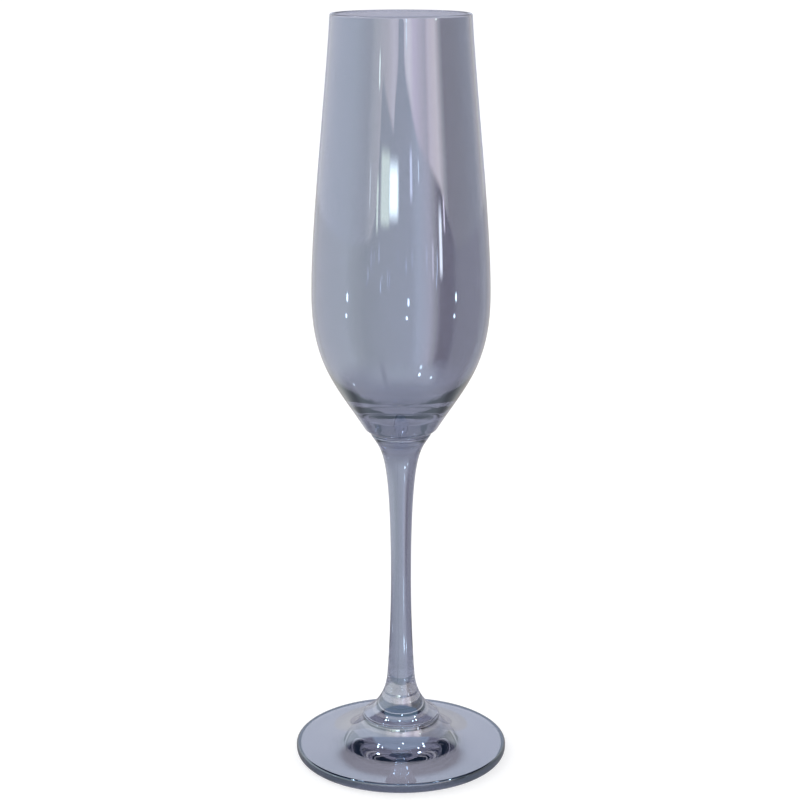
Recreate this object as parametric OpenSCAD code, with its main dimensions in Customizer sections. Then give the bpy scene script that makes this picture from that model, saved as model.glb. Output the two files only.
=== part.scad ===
// Champagne flute in smoke-grey glass: a hand-made style stemware glass of three pieces.
// The blown bowl, the drawn stem and the pressed foot are made one by one and fused together
// at two flat seams, one under the bowl and one on top of the foot.
// Origin: the middle of the foot, on the surface that the glass stands on. +Z is up.

/* [Bowl] */
// Height of the bowl, from its fused seam up to the rim
bowl_h = 125.6; // [100:0.2:152]
// Outside diameter at the rim
rim_d = 41.4; // [34:0.2:50]
// Outside diameter at the belly, the widest place
belly_d = 53.7; // [44.6:0.1:65]
// Height of the belly above the seam
belly_h = 42.6; // [35:0.2:52]
// Wall thickness at the rim
rim_wall = 1.1; // [0.8:0.05:1.6]
// Wall thickness at the belly
belly_wall = 1.3; // [0.9:0.05:2]
// Thickness of the solid glass between the seam and the bowl's floor
floor_t = 6.6; // [5.5:0.1:9]
// Lean of the wall at the rim, from the vertical, in degrees
rim_lean = 3.5; // [0:0.5:8]
// Diameter where the bowl's underside turns into its seam face
heel_d = 22.4; // [20.4:0.2:27]
// Height of that turn above the seam
heel_h = 1.9; // [1.2:0.1:2.6]

/* [Stem] */
// Length of the stem between its two seams
stem_h = 91.6; // [76:0.2:112]
// Diameter of the stem at its waist, the narrowest place
waist_d = 6.3; // [5:0.1:7.8]
// Height of the waist above the lower seam
waist_h = 43.2; // [34:0.2:54]
// Diameter where the stem begins to flare towards the foot
shank_d = 8.8; // [8:0.1:11]
// Height of that place above the lower seam
shank_h = 12.2; // [9:0.2:15]
// Lean of the stem's side at that place, from the vertical, in degrees
shank_lean = 6.5; // [3:0.5:10]

/* [Foot] */
// Diameter of the foot
foot_d = 66.2; // [54:0.2:80]
// Height of the foot, from the table up to the stem's seam
foot_h = 12.8; // [10:0.1:16]
// Thickness of the foot at its edge
edge_t = 3.6; // [3:0.1:5]
// Height of the hollow in the middle of the underside
hollow_h = 1.5; // [1:0.1:2.5]
// Width of the flat ring that the glass stands on
rest_w = 4; // [2.5:0.5:6]
// Rounding of the foot's upper edge
edge_top_r = 0.8; // [0.4:0.1:1.2]
// Rounding of the foot's lower edge
edge_low_r = 2; // [1:0.1:2.4]

/* [Seams] */
// Diameter of the seam between the stem and the bowl
upper_seam_d = 18.2; // [15:0.1:20]
// Diameter of the seam between the foot and the stem
lower_seam_d = 23.4; // [19.4:0.1:28]
// How much the foot's collar is wider than the seam, on each side
collar_step = 0.3; // [0:0.05:0.6]
// Rounding of each glass edge at a seam, which leaves a fine groove all round
groove_r = 0.35; // [0.2:0.05:0.5]

/* [Hidden] */

$fn = 96;
smoke_glass = [0.62, 0.64, 0.72, 0.55];

// The two seams and the rim, as heights above the table.
lower_seam_z = foot_h;
upper_seam_z = foot_h + stem_h;
rim_z = upper_seam_z + bowl_h;

// The straight run from the belly to the lip, and how much of it each end's curve takes up.
lip_z = rim_z - rim_wall / 2;
belly_z = upper_seam_z + belly_h;
wall_run = lip_z - belly_z;
neck_pull = 0.27 * wall_run;
shoulder_pull = 0.257 * wall_run;

// A cubic curve from a to d, steered by b and c, in n steps.
function curve(a, b, c, d, n) = [
    for (i = [0:n])
        let (t = i / n, s = 1 - t)
        s^3 * a + 3 * s^2 * t * b + 3 * s * t^2 * c + t^3 * d
];

// A round from angle a0 to a1 about [x, z], in n steps.
function round_about(x, z, r, a0, a1, n) = [
    for (i = [0:n])
        let (a = a0 + (a1 - a0) * i / n)
        [x + r * cos(a), z + r * sin(a)]
];

// A list without its first point, for curves that start where the last one ended.
function after_first(points) = [for (i = [1:len(points) - 1]) points[i]];

// A list from its last point to its first.
function backwards(points) = [for (i = [len(points) - 1:-1:0]) points[i]];

// The bowl's wall from the belly up to the lip, for a face at the given radii.
function upper_wall(belly_r, lip_r) = curve(
    [belly_r, belly_z],
    [belly_r, belly_z + shoulder_pull],
    [lip_r + neck_pull * tan(rim_lean), lip_z - neck_pull],
    [lip_r, lip_z],
    20
);

// The bowl's underside, from the turn above the seam up to the belly.
function underside(belly_r) =
    let (heel = [heel_d / 2, upper_seam_z + heel_h])
    let (rise = belly_z - heel[1])
    let (spread = belly_r - heel[0])
    curve(
        heel,
        [heel[0] + 0.52 * spread, heel[1] + 0.322 * rise],
        [belly_r, belly_z - 0.51 * rise],
        [belly_r, belly_z],
        16
    );

// The bowl's inside, from the middle of the floor up to the belly.
function bowl_floor(inner_r) =
    let (floor_z = upper_seam_z + floor_t)
    let (depth = belly_z - floor_z)
    curve(
        [0, floor_z],
        [0.6 * inner_r, floor_z],
        [inner_r, belly_z - 0.62 * depth],
        [inner_r, belly_z],
        18
    );

// The stem's side from its waist up to the seam under the bowl.
function upper_stem() =
    let (waist_z = lower_seam_z + waist_h)
    let (rise = upper_seam_z - groove_r - waist_z)
    let (flare = (upper_seam_d - waist_d) / 2)
    curve(
        [waist_d / 2, waist_z],
        [waist_d / 2, waist_z + 0.895 * rise],
        [waist_d / 2 + 0.457 * flare, waist_z + 0.89 * rise],
        [upper_seam_d / 2, upper_seam_z - groove_r],
        24
    );

// The stem's side from where the flare begins up to the waist.
function lower_stem() =
    let (waist_z = lower_seam_z + waist_h)
    let (shank_z = lower_seam_z + shank_h)
    let (pull = 0.11 * (waist_z - shank_z))
    curve(
        [shank_d / 2, shank_z],
        [shank_d / 2 - pull * tan(shank_lean), shank_z + pull],
        [waist_d / 2, waist_z - 0.39 * (waist_z - shank_z)],
        [waist_d / 2, waist_z],
        10
    );

// The flare at the stem's lower end, from the seam on the foot up to the shank.
function stem_flare() =
    let (drop = shank_h - groove_r)
    let (spread = (lower_seam_d - shank_d) / 2)
    let (base_z = lower_seam_z + groove_r)
    curve(
        [lower_seam_d / 2, base_z],
        [lower_seam_d / 2 - 0.4 * spread, base_z + 0.13 * drop],
        [shank_d / 2 + 0.54 * drop * tan(shank_lean), base_z + 0.46 * drop],
        [shank_d / 2, base_z + drop],
        14
    );

// The foot's upper face, from the collar at the seam out to the rounded edge.
function foot_dome(collar_r) =
    let (edge_r = foot_d / 2 - edge_top_r)
    let (spread = edge_r - collar_r)
    let (drop = foot_h - groove_r - edge_t)
    curve(
        [collar_r, foot_h - groove_r],
        [collar_r + 0.08 * spread, foot_h - groove_r - 0.5 * drop],
        [collar_r + 0.26 * spread, edge_t + 0.04 * drop],
        [edge_r, edge_t],
        18
    );

// Blown bowl: a thin wall with a fire-polished round lip over a thick solid bottom.
module bowl() {
    outer_belly = belly_d / 2;
    inner_belly = outer_belly - belly_wall;
    outer_lip = rim_d / 2;
    inner_lip = outer_lip - rim_wall;
    seam_r = upper_seam_d / 2;
    heel = [heel_d / 2, upper_seam_z + heel_h];
    seam_edge = round_about(seam_r - groove_r, upper_seam_z + groove_r, groove_r, -90, 0, 4);
    fillet = curve(
        [seam_r, upper_seam_z + groove_r],
        [seam_r, upper_seam_z + 0.35 * heel_h],
        [heel[0] - 0.4 * (heel[0] - seam_r), heel[1] - 0.6 * heel_h],
        heel,
        6
    );
    lip = round_about(outer_lip - rim_wall / 2, lip_z, rim_wall / 2, 0, 180, 10);
    color(smoke_glass)
        rotate_extrude()
            polygon(concat(
                [[0, upper_seam_z]],
                seam_edge,
                after_first(fillet),
                after_first(underside(outer_belly)),
                after_first(upper_wall(outer_belly, outer_lip)),
                after_first(lip),
                after_first(backwards(upper_wall(inner_belly, inner_lip))),
                after_first(backwards(bowl_floor(inner_belly)))
            ));
}

// Drawn stem: solid, waisted in the middle, with a flared end for each seam.
module stem() {
    low_r = lower_seam_d / 2;
    top_r = upper_seam_d / 2;
    low_edge = round_about(low_r - groove_r, lower_seam_z + groove_r, groove_r, -90, 0, 4);
    top_edge = round_about(top_r - groove_r, upper_seam_z - groove_r, groove_r, 0, 90, 4);
    color(smoke_glass)
        rotate_extrude()
            polygon(concat(
                [[0, lower_seam_z]],
                low_edge,
                after_first(stem_flare()),
                after_first(lower_stem()),
                after_first(upper_stem()),
                after_first(top_edge),
                [[0, upper_seam_z]]
            ));
}

// Pressed foot: a disc that rises to a collar for the stem, hollowed under its middle.
module foot() {
    rim_r = foot_d / 2;
    collar_r = lower_seam_d / 2 + collar_step;
    rest_outer = rim_r - edge_low_r;
    rest_inner = rest_outer - rest_w;
    hollow = curve(
        [0, hollow_h],
        [0.45 * rest_inner, hollow_h],
        [0.75 * rest_inner, 0],
        [rest_inner, 0],
        12
    );
    low_edge = round_about(rest_outer, edge_low_r, edge_low_r, -90, 0, 6);
    top_edge = round_about(rim_r - edge_top_r, edge_t - edge_top_r, edge_top_r, 0, 90, 6);
    collar_edge = round_about(collar_r - groove_r, foot_h - groove_r, groove_r, 0, 90, 4);
    color(smoke_glass)
        rotate_extrude()
            polygon(concat(
                hollow,
                low_edge,
                top_edge,
                after_first(backwards(foot_dome(collar_r))),
                after_first(collar_edge),
                [[0, foot_h]]
            ));
}

bowl();
stem();
foot();
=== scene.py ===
# A champagne flute in smoke-grey lustred glass, put together from the table up: the pressed foot,
# the drawn stem and the blown bowl, with the place it is shown in first.
import math
import random

import bmesh
import bpy
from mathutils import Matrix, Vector, noise


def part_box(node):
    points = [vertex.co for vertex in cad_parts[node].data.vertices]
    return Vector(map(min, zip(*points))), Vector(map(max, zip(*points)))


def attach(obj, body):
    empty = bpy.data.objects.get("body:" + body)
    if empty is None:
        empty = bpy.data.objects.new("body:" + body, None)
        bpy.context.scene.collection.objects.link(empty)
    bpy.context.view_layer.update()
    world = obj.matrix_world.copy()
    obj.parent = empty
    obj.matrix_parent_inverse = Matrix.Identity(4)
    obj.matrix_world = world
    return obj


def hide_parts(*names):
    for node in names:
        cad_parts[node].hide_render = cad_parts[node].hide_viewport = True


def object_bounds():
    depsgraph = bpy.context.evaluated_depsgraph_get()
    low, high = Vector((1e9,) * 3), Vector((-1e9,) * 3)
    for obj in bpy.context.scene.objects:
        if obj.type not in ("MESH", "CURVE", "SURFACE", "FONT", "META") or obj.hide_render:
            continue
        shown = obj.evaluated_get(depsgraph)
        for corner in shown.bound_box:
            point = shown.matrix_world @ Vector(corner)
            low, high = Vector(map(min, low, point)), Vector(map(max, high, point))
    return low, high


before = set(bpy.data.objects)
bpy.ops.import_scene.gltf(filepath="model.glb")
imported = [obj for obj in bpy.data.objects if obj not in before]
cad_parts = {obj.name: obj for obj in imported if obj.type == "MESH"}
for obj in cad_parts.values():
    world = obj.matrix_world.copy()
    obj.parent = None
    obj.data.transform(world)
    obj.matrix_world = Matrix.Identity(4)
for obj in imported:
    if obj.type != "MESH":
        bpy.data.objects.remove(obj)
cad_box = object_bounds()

# ---- The camera ----
# A long lens a little above the rim, looking slightly down at the whole glass. It stands as many
# glass heights back and up as a person does who looks at the glass on a table.
glass_height = cad_box[1].z - cad_box[0].z
camera_back = 2.426 * glass_height
camera_up = 1.1227 * glass_height
camera_aside = 0.0013 * glass_height
look_down = math.radians(14.42)

camera_data = bpy.data.cameras.new("table_camera")
camera_data.sensor_width = 36
camera_data.lens = 85.43
camera_data.clip_start = 0.01
camera = bpy.data.objects.new("table_camera", camera_data)
camera.location = (-camera_aside, -camera_back, camera_up)
camera.rotation_euler = (math.radians(90) - look_down, 0, 0)
bpy.context.scene.collection.objects.link(camera)
bpy.context.scene.camera = camera

# ---- The table and the room's light ----
# A plain white table that curves up into a round white wall. Both glow a little, so the light is
# even from all round, with dim blue above the open top and one wide soft light overhead. The
# colours are shown plainly, so that white stays white.
mm = 0.001
bpy.context.scene.view_settings.view_transform = "Standard"


class Value:
    """One output of a shader node, so that the sums in a material are written as sums."""

    def __init__(self, nodes, socket):
        self.nodes = nodes
        self.socket = socket

    def sum_with(self, operation, first, second):
        return self.nodes.add("ShaderNodeMath", {"operation": operation}, {0: first, 1: second})

    def __add__(self, other):
        return self.sum_with("ADD", self, other)

    def __radd__(self, other):
        return self.sum_with("ADD", other, self)

    def __sub__(self, other):
        return self.sum_with("SUBTRACT", self, other)

    def __rsub__(self, other):
        return self.sum_with("SUBTRACT", other, self)

    def __mul__(self, other):
        return self.sum_with("MULTIPLY", self, other)

    def __rmul__(self, other):
        return self.sum_with("MULTIPLY", other, self)


class Nodes:
    """The node tree of one material, to which nodes are added one after another."""

    def __init__(self, owner):
        owner.use_nodes = True
        self.tree = owner.node_tree
        self.tree.nodes.clear()

    def add(self, kind, settings=None, inputs=None, output=0):
        """Adds a node, sets its settings, then its sockets, and gives one of its outputs."""
        node = self.tree.nodes.new(kind)
        for name, setting in (settings or {}).items():
            if name == "stops":
                self.set_stops(node.color_ramp, setting)
            else:
                setattr(node, name, setting)
        for name, value in (inputs or {}).items():
            if isinstance(value, Value):
                self.tree.links.new(value.socket, node.inputs[name])
            else:
                node.inputs[name].default_value = value
        return Value(self, node.outputs[output])

    def set_stops(self, ramp, stops):
        while len(ramp.elements) < len(stops):
            ramp.elements.new(1)
        for element, (place, colour) in zip(ramp.elements, stops):
            element.position = place
            element.color = colour

    def rising(self, value, start, end):
        """Goes softly from 0 to 1 as the value goes from start to end."""
        return self.add(
            "ShaderNodeMapRange",
            {"interpolation_type": "SMOOTHSTEP"},
            {"Value": value, "From Min": start, "From Max": end},
        )

    def mixed(self, share, first, second):
        """The first colour where the share is 0, and the second where it is 1."""
        return self.add("ShaderNodeMix", {"data_type": "RGBA"}, {0: share, 6: first, 7: second}, output=2)

    def finish(self, surface):
        """Links the last shader to the material's output."""
        output = self.tree.nodes.new("ShaderNodeOutputMaterial")
        self.tree.links.new(surface.socket, output.inputs["Surface"])


def glowing_board(name, colour, darker, glow):
    """White board that is lit from behind as well, so that a shadow on it stays faint."""
    material = bpy.data.materials.new(name)
    nodes = Nodes(material)
    place = nodes.add("ShaderNodeTexCoord", output="Object")
    mottle = nodes.add("ShaderNodeTexNoise", inputs={"Vector": place, "Scale": 6, "Detail": 3})
    tone = nodes.mixed(mottle, darker, colour)
    nodes.finish(nodes.add("ShaderNodeBsdfPrincipled", inputs={
        "Base Color": tone,
        "Roughness": 0.8,
        "Emission Color": tone,
        "Emission Strength": glow,
    }))
    return material


cove_radius = 2.6
cove_bend = 0.9
cove_height = 3.6
cove_sides = 96
cove_bend_steps = 16
under_foot = 0.02 * mm
board_grey = (0.5, 0.5, 0.5, 1)
board_mottle = (0.49, 0.49, 0.49, 1)
board_glow = 1.27
cove_outline = [(cove_radius - 1.5 * cove_bend, 0), (cove_radius - cove_bend, 0)]
for step in range(1, cove_bend_steps + 1):
    bend = math.radians(90 * step / cove_bend_steps)
    cove_outline.append(
        (cove_radius - cove_bend * (1 - math.sin(bend)), cove_bend * (1 - math.cos(bend)))
    )
cove_outline.append((cove_radius, cove_height))
cove_form = bmesh.new()
cove_rings = []
for r, z in cove_outline:
    cove_rings.append([
        cove_form.verts.new((
            r * math.cos(2 * math.pi * i / cove_sides),
            r * math.sin(2 * math.pi * i / cove_sides),
            z - under_foot,
        ))
        for i in range(cove_sides)
    ])
cove_form.faces.new(cove_rings[0])
for low_ring, high_ring in zip(cove_rings, cove_rings[1:]):
    for i in range(cove_sides):
        j = (i + 1) % cove_sides
        side = cove_form.faces.new([low_ring[i], low_ring[j], high_ring[j], high_ring[i]])
        side.smooth = True
cove_mesh = bpy.data.meshes.new("cove")
cove_form.to_mesh(cove_mesh)
cove_form.free()
cove_mesh.materials.append(glowing_board("white_board", board_grey, board_mottle, board_glow))
cove = bpy.data.objects.new("cove", cove_mesh)
bpy.context.scene.collection.objects.link(cove)

dusk_blue = (0.1, 0.115, 0.155, 1)
room = bpy.data.worlds.new("room")
room.use_nodes = True
room.node_tree.nodes["Background"].inputs["Color"].default_value = dusk_blue
room.node_tree.nodes["Background"].inputs["Strength"].default_value = 1
bpy.context.scene.world = room

overhead_data = bpy.data.lights.new("overhead", "AREA")
overhead_data.shape = "DISK"
overhead_data.size = 0.9
overhead_data.energy = 4.5
overhead = bpy.data.objects.new("overhead", overhead_data)
overhead.location = (-0.35, 0.25, 1.3)
overhead.rotation_euler = (Vector(overhead.location)).to_track_quat("Z", "Y").to_euler()
overhead.visible_camera = False
overhead.visible_glossy = False
overhead.visible_transmission = False
bpy.context.scene.collection.objects.link(overhead)


# ---- The tent round the glass ----
# A light tent with a floor and a lid, which shows in the glass only as a reflection. Its cloth is
# painted in upright bands, pale on the left and dark on the right, like a room with curtains and
# one bright window.
tent_radius = 0.5
tent_height = 0.65
tent_floor_hole = 0.0322
tent_floor_z = 0.2 * mm
tent_lid_hole = 0.02
tent_sides = 120


def tent_cloth():
    """Glowing cloth: bands above a wavy edge, other bands below it, and more on the floor."""
    material = bpy.data.materials.new("tent_cloth")
    nodes = Nodes(material)
    place = nodes.add("ShaderNodeTexCoord", output="Object")
    facing = nodes.add("ShaderNodeMapping", inputs={"Vector": place, "Rotation": (0, 0, math.pi / 2)})
    share = nodes.add("ShaderNodeTexGradient", {"gradient_type": "RADIAL"}, {"Vector": facing}, output=1)
    height = nodes.add("ShaderNodeSeparateXYZ", inputs={"Vector": place}, output="Z")

    def bands(stops):
        """A ramp round the tent, from stops of an azimuth in degrees and a colour."""
        spots = [((azimuth + 180) / 360, (*colour, 1)) for azimuth, colour in stops]
        return nodes.add("ShaderNodeValToRGB", {"stops": spots}, {"Fac": share})

    upper = bands([
        (-180, (0.68, 0.74, 0.88)),
        (-160, (0.72, 0.76, 0.86)),
        (-146, (1.15, 1.15, 1.2)),
        (-75, (1.03, 1.02, 1.0)),
        (-48, (0.82, 0.8, 0.76)),
        (-38, (1.15, 1.05, 0.95)),
        (-20, (1.35, 1.15, 1.05)),
        (-10, (1.75, 1.45, 1.4)),
        (0, (1.3, 1.1, 1.1)),
        (5, (1.9, 1.6, 1.55)),
        (12, (2.2, 1.85, 1.75)),
        (18, (1.8, 1.4, 1.5)),
        (30, (1.35, 1.1, 1.1)),
        (36, (1.15, 0.95, 0.95)),
        (41, (1.8, 1.4, 1.35)),
        (52, (2.0, 1.55, 1.4)),
        (59, (1.0, 0.85, 0.75)),
        (65, (0.35, 0.3, 0.25)),
        (90, (0.38, 0.35, 0.3)),
        (120, (0.5, 0.5, 0.5)),
        (146, (1.0, 0.95, 0.9)),
        (160, (0.68, 0.72, 0.84)),
        (180, (0.68, 0.74, 0.88)),
    ])
    lower = bands([
        (-180, (0.6, 0.6, 0.6)),
        (-150, (0.9, 0.9, 0.9)),
        (-75, (1.0, 0.98, 0.92)),
        (-60, (0.8, 0.8, 0.72)),
        (-45, (0.65, 0.66, 0.6)),
        (-20, (0.72, 0.72, 0.7)),
        (12, (0.76, 0.76, 0.78)),
        (22, (1.0, 1.0, 1.06)),
        (36, (1.05, 0.92, 0.95)),
        (43, (0.7, 0.6, 0.55)),
        (51, (0.08, 0.06, 0.05)),
        (66, (0.04, 0.03, 0.03)),
        (76, (0.3, 0.27, 0.25)),
        (116, (0.35, 0.33, 0.33)),
        (130, (0.55, 0.55, 0.55)),
        (150, (0.7, 0.68, 0.68)),
        (180, (0.6, 0.6, 0.6)),
    ])
    edges = [
        (-180, 0.12), (-60, 0.14), (-40, 0.15), (-34, 0.17), (-30, 0.2), (-27.5, 0.254),
        (-25.5, 0.2525), (-18, 0.243), (-10, 0.2335), (-9, 0.245), (-8, 0.25), (-6, 0.2545),
        (-4, 0.262), (-1.5, 0.3), (1.5, 0.3), (4.5, 0.262), (8, 0.2545), (11.5, 0.25),
        (19.5, 0.2335), (25, 0.224), (41, 0.206), (53, 0.189), (60, 0.17), (75, 0.13), (180, 0.12),
    ]
    edge = bands([(azimuth, (level, level, level)) for azimuth, level in edges])
    edge_blur = 0.006
    walls = nodes.mixed(nodes.rising(height - edge, -edge_blur, edge_blur), lower, upper)
    floor = bands([
        (-180, (0.22, 0.22, 0.25)),
        (-115, (0.25, 0.25, 0.28)),
        (-100, (0.5, 0.5, 0.52)),
        (-65, (0.55, 0.55, 0.56)),
        (-33, (0.82, 0.82, 0.82)),
        (-30, (0.5, 0.5, 0.52)),
        (-26, (0.5, 0.5, 0.52)),
        (-23, (0.8, 0.8, 0.8)),
        (0, (0.85, 0.85, 0.85)),
        (50, (0.9, 0.87, 0.92)),
        (66, (0.45, 0.43, 0.46)),
        (100, (0.38, 0.36, 0.4)),
        (115, (0.25, 0.25, 0.28)),
        (180, (0.22, 0.22, 0.25)),
    ])
    reach = nodes.add("ShaderNodeVectorMath", {"operation": "LENGTH"}, {0: place}, output=1)
    # Painted shade: the floor close to the glass is darker, as the glass's shade on the table seen in
    # reflection.
    shade_near_glass = nodes.add(
        "ShaderNodeValToRGB",
        {"stops": [
            (0.0, (0.3, 0.31, 0.36, 1)),
            (0.1, (0.5, 0.5, 0.54, 1)),
        ]},
        {"Fac": reach},
    )
    colour = nodes.mixed(nodes.rising(reach, 0.07, 0.13), shade_near_glass, floor)
    colour = nodes.mixed(nodes.rising(reach, 0.11, 0.21), colour, walls)
    depth = nodes.add("ShaderNodeSeparateXYZ", inputs={"Vector": place}, output="Y")
    lid_front = (0.36, 0.48, 0.6, 1)
    lid_back = (0.04, 0.055, 0.1, 1)
    lid = nodes.mixed(nodes.rising(depth, -0.08, 0.03), lid_front, lid_back)
    lid_slope = 0.06
    colour = nodes.mixed(nodes.rising(height + lid_slope * depth, 0.345, 0.44), colour, lid)
    nodes.finish(nodes.add("ShaderNodeEmission", inputs={"Color": colour, "Strength": 1}))
    return material


def only_reflected(piece):
    """Leaves the piece to be seen in reflections only, and puts it in the scene."""
    piece.visible_camera = False
    piece.visible_diffuse = False
    piece.visible_transmission = False
    piece.visible_shadow = False
    bpy.context.scene.collection.objects.link(piece)


tent_form = bmesh.new()
tent_rings = []
tent_outline = [
    (tent_floor_hole, tent_floor_z),
    (tent_radius, tent_floor_z),
    (tent_radius, tent_height),
    (tent_lid_hole, tent_height),
]
for r, z in tent_outline:
    angles = [2 * math.pi * i / tent_sides for i in range(tent_sides)]
    tent_rings.append([tent_form.verts.new((math.sin(a) * r, -math.cos(a) * r, z)) for a in angles])
for low_ring, high_ring in zip(tent_rings, tent_rings[1:]):
    for i in range(tent_sides):
        j = (i + 1) % tent_sides
        tent_form.faces.new([low_ring[i], low_ring[j], high_ring[j], high_ring[i]])
tent_mesh = bpy.data.meshes.new("tent")
tent_form.to_mesh(tent_mesh)
tent_form.free()
tent_mesh.materials.append(tent_cloth())
only_reflected(bpy.data.objects.new("tent", tent_mesh))


def card_face(name, colour, strength, edge, ends):
    """Glowing face that fades out over its outermost part, edge and ends being that part's share."""
    material = bpy.data.materials.new(name)
    nodes = Nodes(material)
    place = nodes.add("ShaderNodeTexCoord", output="Generated")

    def fade(axis, width):
        share = nodes.add("ShaderNodeSeparateXYZ", inputs={"Vector": place}, output=axis)
        off_centre = nodes.add("ShaderNodeMath", {"operation": "ABSOLUTE"}, {0: share - 0.5})
        return nodes.rising(0.5 - off_centre, 0.0, width)

    glow = nodes.add("ShaderNodeEmission", inputs={"Color": (*colour, 1), "Strength": strength})
    clear = nodes.add("ShaderNodeBsdfTransparent")
    mask = fade("X", edge) * fade("Y", ends)
    nodes.finish(nodes.add("ShaderNodeMixShader", inputs={0: mask, 1: clear, 2: glow}))
    return material


card_distance = 0.96 * tent_radius


def card(name, azimuth, spread, low, high, strength, colour=(1, 1, 1), edge=0.3, ends=0.3):
    """Bright card just inside the tent.

    Its azimuth and its spread are in degrees, 0 being the camera's side and 90 its right.
    """
    half = card_distance * math.tan(math.radians(spread / 2))
    mesh = bpy.data.meshes.new(name)
    corners = [(-half, 0, 0), (half, 0, 0), (half, high - low, 0), (-half, high - low, 0)]
    mesh.from_pydata(corners, [], [(0, 1, 2, 3)])
    mesh.materials.append(card_face(name, colour, strength, edge, ends))
    piece = bpy.data.objects.new(name, mesh)
    turn = math.radians(azimuth)
    piece.location = (card_distance * math.sin(turn), -card_distance * math.cos(turn), low)
    piece.rotation_euler = (math.radians(90), 0, turn)
    only_reflected(piece)


card("window", -9.5, 16, 0.168, 0.222, 5.0, (1.0, 1.0, 0.97), edge=0.3, ends=0.35)
card("window_side", -20.5, 15, 0.163, 0.226, 2.3, (1.0, 1.0, 0.8), edge=0.25, ends=0.2)
card("window_edge", -30.5, 4, 0.155, 0.21, 2.4, (1.0, 1.0, 0.8), edge=0.4)
card("left_streak", -41, 3, 0.17, 0.215, 1.7, (1.05, 1.0, 0.95), edge=0.4)
card("left_line", -31.5, 2.2, 0.245, 0.2612, 4.0, (1.0, 1.0, 0.85), edge=0.4)
card("right_line", 56.4, 2.6, 0.261, 0.3, 5.0, (1.0, 1.0, 0.85), edge=0.4, ends=0.1)
card("middle_line", 8, 2.4, 0.261, 0.3, 3.6, (0.9, 0.95, 1.0), edge=0.4, ends=0.1)
card("blue_line", 13, 5, 0.183, 0.228, 2.2, (1.0, 0.95, 1.1), edge=0.4)
card("thin_line", 23, 2, 0.197, 0.218, 2.4, (0.95, 0.95, 1.05), edge=0.4)
card("curtain_gap", 51, 6, 0.1, 0.185, 3.4, (1.1, 1.0, 1.0), edge=0.4)
card("curtain_gap_side", 57, 3, 0.15, 0.185, 2.4, (1.2, 0.95, 1.0), edge=0.4)
card("curtain_gap_low", 40, 4, 0.1, 0.16, 1.5, (1.1, 0.95, 1.0), edge=0.4)
fringe = random.Random(11)
fringe_count = 16
fringe_colour = (0.95, 0.97, 1.15)
soft = 0.45
for i in range(fringe_count):
    low = fringe.uniform(0.085, 0.15)
    azimuth = fringe.uniform(-44, 46)
    spread = fringe.uniform(0.7, 2.2)
    high = low + fringe.uniform(0.012, 0.05)
    glow = fringe.uniform(0.95, 1.9)
    card("fringe_%d" % i, azimuth, spread, low, high, glow, fringe_colour, edge=soft, ends=soft)


lamp_distance = 0.48
lamp_colour = (0.75, 0.85, 1.0, 1)
lamp_glow = 30
lamp_front = 20
lamp_back = 120


def lamp(name, azimuth, rise, size):
    """Small round lamp in the tent: its azimuth and how far up it is seen, in degrees.

    Only the lamps in front and behind are seen through the glass as well as reflected in it.
    """
    mesh = bpy.data.meshes.new(name)
    form = bmesh.new()
    bmesh.ops.create_circle(form, cap_ends=True, segments=16, radius=size / 2)
    form.to_mesh(mesh)
    form.free()
    material = bpy.data.materials.new(name)
    nodes = Nodes(material)
    nodes.finish(nodes.add("ShaderNodeEmission", inputs={"Color": lamp_colour, "Strength": lamp_glow}))
    mesh.materials.append(material)
    piece = bpy.data.objects.new(name, mesh)
    turn = math.radians(azimuth)
    lift = math.radians(rise)
    outward = Vector((math.cos(lift) * math.sin(turn), -math.cos(lift) * math.cos(turn), math.sin(lift)))
    piece.location = outward * lamp_distance
    piece.rotation_euler = outward.to_track_quat("Z", "Y").to_euler()
    only_reflected(piece)
    piece.visible_transmission = abs(azimuth) < lamp_front or abs(azimuth) > lamp_back


lamps = [
    (8, 64, 0.018), (-14, 80, 0.016), (-82, 60, 0.02), (-96, 64, 0.024), (-86, 68, 0.014),
    (80, 58, 0.022), (94, 63, 0.02), (88, 70, 0.016), (-140, 66, 0.02), (128, 71, 0.024),
]
for i, (azimuth, rise, size) in enumerate(lamps):
    lamp("lamp_%d" % i, azimuth, rise, size)

spark_levels = (0.024, 0.066)
spark_height = 0.02
spark_spread = 2.8
spark_glow = 12
spark_colour = (0.8, 0.9, 1.0)
for side, azimuth in (("left", -72), ("front", 7), ("right", 70)):
    for step, level in enumerate(spark_levels):
        card(
            "spark_%s_%d" % (side, step), azimuth + 2 * step, spark_spread,
            level, level + spark_height, spark_glow, spark_colour, edge=soft, ends=soft,
        )


floor_spark_z = 0.6 * mm
floor_spark_colour = (0.85, 0.92, 1.0)


def floor_spark(name, azimuth, reach, size, strength):
    """Small bright card just over the tent's floor, for the lights along the stem."""
    mesh = bpy.data.meshes.new(name)
    half = size / 2
    corners = [(-half, -size, 0), (half, -size, 0), (half, size, 0), (-half, size, 0)]
    mesh.from_pydata(corners, [], [(0, 1, 2, 3)])
    mesh.materials.append(card_face(name, floor_spark_colour, strength, soft, soft))
    piece = bpy.data.objects.new(name, mesh)
    turn = math.radians(azimuth)
    piece.location = (reach * math.sin(turn), -reach * math.cos(turn), floor_spark_z)
    piece.rotation_euler = (0, 0, turn)
    only_reflected(piece)


floor_spark("stem_light_high", 30, 0.125, 0.009, 14)
floor_spark("stem_light_long", 30, 0.155, 0.014, 4)
floor_spark("stem_light_right", 52, 0.12, 0.007, 7)
floor_spark("stem_light_left", -96, 0.125, 0.006, 5)


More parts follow.
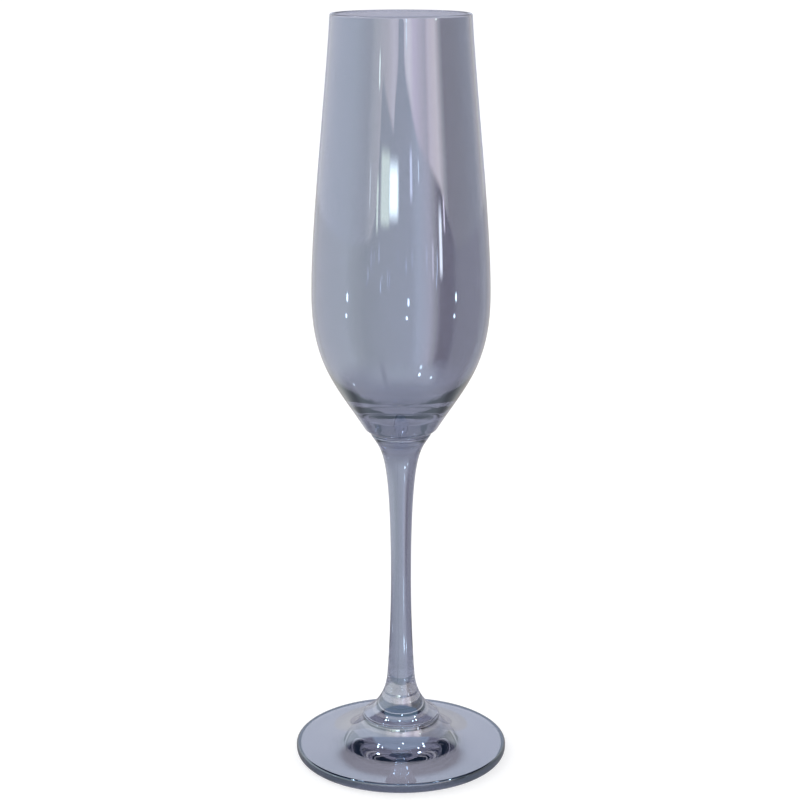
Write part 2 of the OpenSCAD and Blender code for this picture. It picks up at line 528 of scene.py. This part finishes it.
# ---- The foot ----
# Pressed disc of solid glass, fire polished, with a collar in the middle for the stem and a
# hollowed underside, so that it stands on a ring. The smoke lustre is a film on its skin.
foot_low, foot_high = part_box("foot")
foot_d = foot_high.x - foot_low.x
foot_top = foot_high.z
lower_seam_d = 23.4 * mm
collar_step = 0.3 * mm
groove_r = 0.35 * mm
edge_t = 3.6 * mm
hollow_h = 1.5 * mm
rest_w = 4 * mm
edge_top_r = 0.8 * mm
edge_low_r = 2.0 * mm
seam_gap = 0.01 * mm
turns = 160
dents_round = 1.3
dent_height = 22 * mm
calm_radius = 6 * mm


def curve(a, b, c, d, steps):
    """Points along a cubic curve from a to d, steered by b and c, in the plane of (radius, height)."""
    points = []
    for i in range(steps + 1):
        t = i / steps
        s = 1 - t
        weights = (s**3, 3 * s * s * t, 3 * s * t * t, t**3)
        points.append(tuple(sum(w * p[k] for w, p in zip(weights, (a, b, c, d))) for k in (0, 1)))
    return points


def rounding(x, z, r, start, end, steps):
    """Points along a round about (x, z), between two angles in degrees."""
    angles = [math.radians(start + (end - start) * i / steps) for i in range(steps + 1)]
    return [(x + r * math.cos(a), z + r * math.sin(a)) for a in angles]


def turned(name, stretches, materials, waviness=0.0, seed=0):
    """Closed solid turned about the upright axis.

    Each stretch is a material's number and the points of one part of the outline, and begins
    where the last one ended. The waviness is how far the skin dips in, softly, here and there,
    and the seed moves the dips, so that no two pieces dip alike.
    """
    outline = [(stretches[0][0], stretches[0][1][0])]
    for number, points in stretches:
        outline += [(number, point) for point in points[1:]]
    shift = Vector((seed * 7.1, seed * 3.3, seed * 5.7))
    form = bmesh.new()
    rings = []
    for number, (r, z) in outline:
        if r < 1e-7:
            rings.append([form.verts.new((0, 0, z))])
            continue
        ring = []
        for i in range(turns):
            a = 2 * math.pi * i / turns
            x, y = math.cos(a), math.sin(a)
            spot = Vector((x * dents_round, y * dents_round, z / dent_height)) + shift
            dip = waviness * min(1, r / calm_radius) * (0.5 + 0.5 * noise.noise(spot))
            ring.append(form.verts.new((x * (r - dip), y * (r - dip), z)))
        rings.append(ring)
    for (number, _), last, ring in zip(outline[1:], rings, rings[1:]):
        for i in range(turns):
            j = (i + 1) % turns
            corners = [last[i % len(last)], last[j % len(last)], ring[j % len(ring)], ring[i % len(ring)]]
            corners = list(dict.fromkeys(corners))
            face = form.faces.new(corners)
            face.material_index = number
            face.smooth = True
    mesh = bpy.data.meshes.new(name)
    form.to_mesh(mesh)
    form.free()
    for material in materials:
        mesh.materials.append(material)
    piece = bpy.data.objects.new(name, mesh)
    bpy.context.scene.collection.objects.link(piece)
    return piece


# Painted shade: the dark colour given to the skin at the foot's edge.
painted_edge_shade = (0.016, 0.015, 0.032, 1)
ripple_fade = 8 * mm


def lustred_glass(name, tint, paler, streak, shade_from=1.0, shade_to=2.0, rippled_below=-1.0):
    """Glass with a smoke-grey metallic lustre fired on its skin, in very slightly uneven clouds.

    Between two radii, where the piece has an edge, the colour is painted darker as painted shade.
    Below a height the skin is rippled, where the glass was worked hot.
    """
    material = bpy.data.materials.new(name)
    nodes = Nodes(material)
    place = nodes.add("ShaderNodeTexCoord", output="Object")
    drawn = nodes.add("ShaderNodeMapping", inputs={"Vector": place, "Scale": streak})
    clouds = nodes.add("ShaderNodeTexNoise", inputs={"Vector": drawn, "Scale": 1, "Detail": 2})
    colour = nodes.mixed(clouds, tint, paler)
    flat = nodes.add("ShaderNodeVectorMath", {"operation": "MULTIPLY"}, {0: place, 1: (1, 1, 0)})
    radius = nodes.add("ShaderNodeVectorMath", {"operation": "LENGTH"}, {0: flat}, output=1)
    # Painted shade: the colour is darker between the two radii, at the edge.
    colour = nodes.mixed(nodes.rising(radius, shade_from, shade_to), colour, painted_edge_shade)
    height = nodes.add("ShaderNodeSeparateXYZ", inputs={"Vector": place}, output="Z")
    worked = nodes.rising(rippled_below - height, 0.0, ripple_fade)
    ripples = nodes.add("ShaderNodeTexNoise", inputs={"Vector": place, "Scale": 220, "Detail": 1})
    bump = nodes.add(
        "ShaderNodeBump",
        inputs={"Height": clouds + 4 * worked * ripples, "Strength": 0.25, "Distance": 0.05 * mm},
    )
    nodes.finish(nodes.add("ShaderNodeBsdfPrincipled", inputs={
        "Base Color": colour,
        "Roughness": 0.0,
        "IOR": 1.52,
        "Transmission Weight": 1,
        "Thin Film Thickness": 35,
        "Thin Film IOR": 2.3,
        "Normal": bump,
    }))
    return material


def clear_glass():
    """Clear glass, polished by the fire, with the faintest ripple from blowing."""
    material = bpy.data.materials.new("clear_glass")
    nodes = Nodes(material)
    place = nodes.add("ShaderNodeTexCoord", output="Object")
    drawn = nodes.add("ShaderNodeMapping", inputs={"Vector": place, "Scale": (70, 70, 18)})
    ripple = nodes.add("ShaderNodeTexNoise", inputs={"Vector": drawn, "Scale": 1, "Detail": 2})
    bump = nodes.add("ShaderNodeBump", inputs={"Height": ripple, "Strength": 0.2, "Distance": 0.05 * mm})
    nodes.finish(nodes.add("ShaderNodeBsdfPrincipled", inputs={
        "Base Color": (1, 1, 1, 1),
        "Roughness": 0.0,
        "IOR": 1.52,
        "Transmission Weight": 1,
        "Normal": bump,
    }))
    return material


def fused_face():
    """Seam where the glass of two pieces has run together: there is nothing to see in it."""
    material = bpy.data.materials.new("fused_face")
    nodes = Nodes(material)
    nodes.finish(nodes.add("ShaderNodeBsdfTransparent"))
    return material


smoke_dark = (0.150, 0.157, 0.235, 1)
smoke_pale = (0.167, 0.175, 0.26, 1)
# The radii of the foot's edge, between which the shade is painted.
edge_shade_from = 32.3 * mm
edge_shade_to = 32.7 * mm
foot_skin = lustred_glass("foot_lustre", smoke_dark, smoke_pale, (90, 90, 90), edge_shade_from, edge_shade_to)
fused = fused_face()
clear = clear_glass()

foot_r = foot_d / 2
collar_r = lower_seam_d / 2 + collar_step
rest_outer = foot_r - edge_low_r
rest_inner = rest_outer - rest_w
edge_r = foot_r - edge_top_r
dome_start = foot_top - groove_r
dome_drop = dome_start - edge_t
dome_spread = edge_r - collar_r
foot_under = curve((0, hollow_h), (0.45 * rest_inner, hollow_h), (0.75 * rest_inner, 0), (rest_inner, 0), 40)
foot_under += rounding(rest_outer, edge_low_r, edge_low_r, -90, -40, 8)
foot_outline = rounding(rest_outer, edge_low_r, edge_low_r, -40, 0, 7)
foot_outline += rounding(edge_r, edge_t - edge_top_r, edge_top_r, 0, 90, 14)
foot_outline += curve(
    (edge_r, edge_t),
    (collar_r + 0.26 * dome_spread, edge_t + 0.04 * dome_drop),
    (collar_r + 0.08 * dome_spread, dome_start - 0.5 * dome_drop),
    (collar_r, dome_start),
    50,
)[1:]
foot_outline += rounding(collar_r - groove_r, dome_start, groove_r, 0, 80, 8)[1:]
foot_seam_z = foot_top - seam_gap
foot_outline[-1] = (foot_outline[-1][0], foot_seam_z)
foot = turned(
    "foot",
    [(2, foot_under), (0, foot_outline), (1, [foot_outline[-1], (0, foot_seam_z)])],
    [foot_skin, fused, clear],
    waviness=0.05 * mm,
    seed=1,
)
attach(foot, "root")
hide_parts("foot")

# ---- The stem ----
# Solid rod of glass, drawn hot to a waist, with both ends flared and pressed flat on the foot
# and under the bowl. Drawing leaves it very slightly streaked along its length.
stem_low, stem_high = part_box("stem")
stem_base = stem_low.z
stem_top = stem_high.z
upper_seam_d = 18.2 * mm
waist_d = 6.3 * mm
waist_z = stem_base + 43.2 * mm
shank_d = 8.8 * mm
shank_z = stem_base + 12.2 * mm
shank_lean = math.tan(math.radians(6.5))

stem_skin = lustred_glass("stem_lustre", smoke_dark, smoke_pale, (260, 260, 30))
waist_r = waist_d / 2
shank_r = shank_d / 2
top_r = upper_seam_d / 2
base_r = lower_seam_d / 2
base_edge_z = stem_base + groove_r
drop = shank_z - base_edge_z
flare = base_r - shank_r
stem_outline = rounding(base_r - groove_r, base_edge_z, groove_r, -80, 0, 8)
stem_outline[0] = (stem_outline[0][0], stem_base + seam_gap)
stem_outline += curve(
    (base_r, base_edge_z),
    (base_r - 0.4 * flare, base_edge_z + 0.13 * drop),
    (shank_r + 0.54 * drop * shank_lean, base_edge_z + 0.46 * drop),
    (shank_r, shank_z),
    40,
)[1:]
pull = 0.11 * (waist_z - shank_z)
stem_outline += curve(
    (shank_r, shank_z),
    (shank_r - pull * shank_lean, shank_z + pull),
    (waist_r, waist_z - 0.39 * (waist_z - shank_z)),
    (waist_r, waist_z),
    30,
)[1:]
rise = stem_top - groove_r - waist_z
stem_outline += curve(
    (waist_r, waist_z),
    (waist_r, waist_z + 0.895 * rise),
    (waist_r + 0.457 * (top_r - waist_r), waist_z + 0.89 * rise),
    (top_r, stem_top - groove_r),
    70,
)[1:]
stem_outline += rounding(top_r - groove_r, stem_top - groove_r, groove_r, 0, 80, 8)[1:]
stem_outline[-1] = (stem_outline[-1][0], stem_top - seam_gap)
stem = turned(
    "stem",
    [
        (1, [(0, stem_base + seam_gap), stem_outline[0]]),
        (0, stem_outline),
        (1, [stem_outline[-1], (0, stem_top - seam_gap)]),
    ],
    [stem_skin, fused],
    waviness=0.06 * mm,
    seed=2,
)
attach(stem, "root")
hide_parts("stem")

# ---- The bowl ----
# Blown glass: a thin wall with a fire-polished lip, over a thick bottom that is fused to the
# stem. The lustre is on the outside only. The inside is plain clear glass, and the lip is
# painted pale, as painted light for the light that gathers in it.
bowl_low, bowl_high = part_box("bowl")
seam_z = bowl_low.z
rim_z = bowl_high.z
rim_d = 41.4 * mm
belly_d = 53.7 * mm
belly_z = seam_z + 42.6 * mm
rim_wall = 1.1 * mm
belly_wall = 1.3 * mm
floor_z = seam_z + 6.6 * mm
rim_lean = math.tan(math.radians(3.5))
heel_r = 22.4 * mm / 2
heel_h = 1.9 * mm
ripple_top = seam_z + 14 * mm


def lip_glass():
    """The lip, painted pale as painted light, for the light that runs up the wall and gathers in it."""
    material = bpy.data.materials.new("lip_glass")
    nodes = Nodes(material)
    place = nodes.add("ShaderNodeTexCoord", output="Object")
    clouds = nodes.add("ShaderNodeTexNoise", inputs={"Vector": place, "Scale": 90, "Detail": 2})
    # Painted light: the lip's pale colour stands in for the light gathered in it.
    colour = nodes.mixed(clouds, (0.51, 0.53, 0.64, 1), (0.59, 0.61, 0.72, 1))
    bump = nodes.add("ShaderNodeBump", inputs={"Height": clouds, "Strength": 0.2, "Distance": 0.05 * mm})
    nodes.finish(nodes.add("ShaderNodeBsdfPrincipled", inputs={
        "Base Color": colour,
        "Roughness": 0.12,
        "IOR": 1.52,
        "Transmission Weight": 0.55,
        "Normal": bump,
    }))
    return material


bowl_skin = lustred_glass("bowl_lustre", smoke_dark, smoke_pale, (60, 60, 14), rippled_below=ripple_top)
lip_z = rim_z - rim_wall / 2
wall_run = lip_z - belly_z
shoulder_pull = 0.257 * wall_run
neck_pull = 0.27 * wall_run


def wall(belly_r, lip_r, steps):
    """The wall's outline from the belly up to the lip."""
    return curve(
        (belly_r, belly_z),
        (belly_r, belly_z + shoulder_pull),
        (lip_r + neck_pull * rim_lean, lip_z - neck_pull),
        (lip_r, lip_z),
        steps,
    )


inner_r = belly_d / 2 - belly_wall
outer_r = belly_d / 2
seam_edge_z = seam_z + groove_r
heel_z = seam_z + heel_h
outer = rounding(top_r - groove_r, seam_edge_z, groove_r, -80, 0, 8)
outer[0] = (outer[0][0], seam_z + seam_gap)
outer += curve(
    (top_r, seam_edge_z),
    (top_r, seam_z + 0.35 * heel_h),
    (heel_r - 0.4 * (heel_r - top_r), heel_z - 0.6 * heel_h),
    (heel_r, heel_z),
    14,
)[1:]
spread = outer_r - heel_r
outer += curve(
    (heel_r, heel_z),
    (heel_r + 0.52 * spread, heel_z + 0.322 * (belly_z - heel_z)),
    (outer_r, belly_z - 0.51 * (belly_z - heel_z)),
    (outer_r, belly_z),
    50,
)[1:]
outer += wall(outer_r, rim_d / 2, 60)[1:]
lip = rounding(rim_d / 2 - rim_wall / 2, lip_z, rim_wall / 2, 0, 180, 16)
inner = wall(inner_r, rim_d / 2 - rim_wall, 60)[::-1]
inner += curve(
    (inner_r, belly_z),
    (inner_r, belly_z - 0.62 * (belly_z - floor_z)),
    (0.6 * inner_r, floor_z),
    (0, floor_z),
    60,
)[1:]
bowl = turned(
    "bowl",
    [(2, [(0, seam_z + seam_gap), outer[0]]), (0, outer), (3, lip), (1, inner)],
    [bowl_skin, clear, fused, lip_glass()],
    waviness=0.04 * mm,
    seed=3,
)

# A few seeds, tiny bubbles that stayed in the thick bottom when the stem was drawn on. Each is a
# hollow in the glass, so its skin faces inward.
seeds = random.Random(4)
seed_form = bmesh.new()
seed_form.from_mesh(bowl.data)
column_r = 0.26 * mm
cluster_r = 0.28 * mm
spots = []
for i in range(7):
    x = seeds.uniform(-0.5, 0.6) * mm
    spots.append((x, -1.5 * mm, seam_z + (0.8 + 0.75 * i) * mm, column_r))
for i in range(4):
    x = seeds.uniform(4.5, 6.6) * mm
    spots.append((x, -5 * mm, seam_z + seeds.uniform(0.7, 1.4) * mm, cluster_r))
for x, y, z, r in spots:
    size = r * seeds.uniform(0.7, 1.2)
    made = bmesh.ops.create_uvsphere(seed_form, u_segments=12, v_segments=8, radius=size)
    bmesh.ops.translate(seed_form, verts=made["verts"], vec=(x, y, z))
    skin = list({face for vert in made["verts"] for face in vert.link_faces})
    bmesh.ops.reverse_faces(seed_form, faces=skin)
    for face in skin:
        face.material_index = 1
        face.smooth = True
seed_form.to_mesh(bowl.data)
seed_form.free()
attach(bowl, "root")
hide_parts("bowl")
